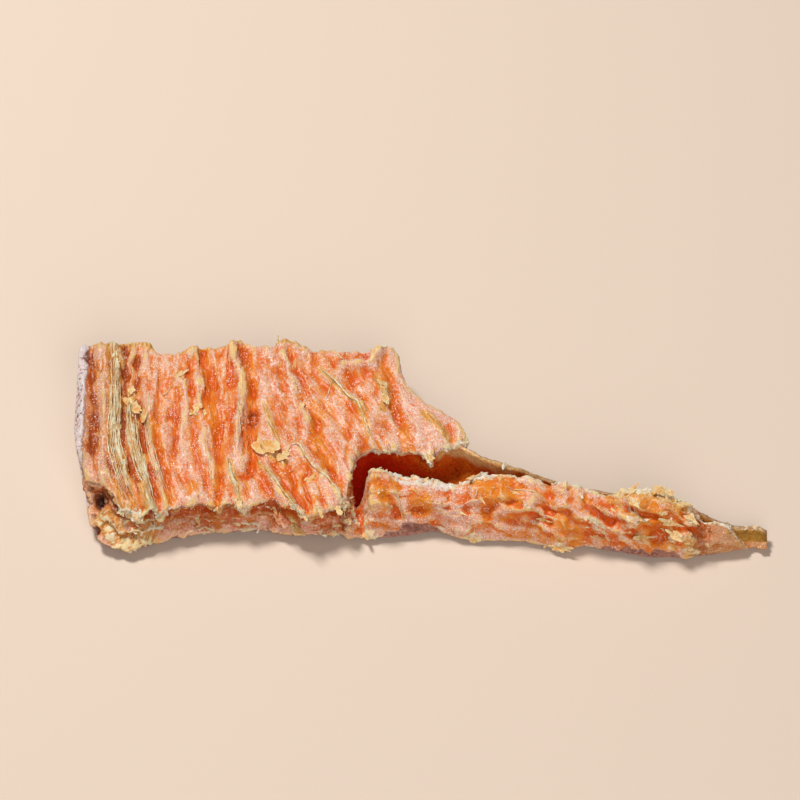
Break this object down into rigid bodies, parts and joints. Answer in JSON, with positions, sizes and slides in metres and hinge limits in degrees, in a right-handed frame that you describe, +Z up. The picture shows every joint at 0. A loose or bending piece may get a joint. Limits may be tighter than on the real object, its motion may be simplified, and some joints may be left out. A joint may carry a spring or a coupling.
{
  "type": "dried sweet potato slice",
  "caption": "Torn, dried lengthwise slice of sweet potato: a furrowed slab that curls into a trough with a pointed flap and a long tapering tail, lying skin side down.",
  "frame": {"origin": "centre of the bounding box's bottom face, on the surface that the slice lies on", "axes": "+X along the slice from the slab's skin rim to the tip of the tail, +Y from the torn front lip to the back edge, +Z up"},
  "size_m": [0.1468, 0.053, 0.013],
  "materials": {
    "flesh": "dull, slightly waxy dried orange flesh with a frosting of sugar; dusty purple-brown skin underneath"
  },
  "bodies": {
    "root": {"slice": "flesh"}
  },
  "joints": []
}
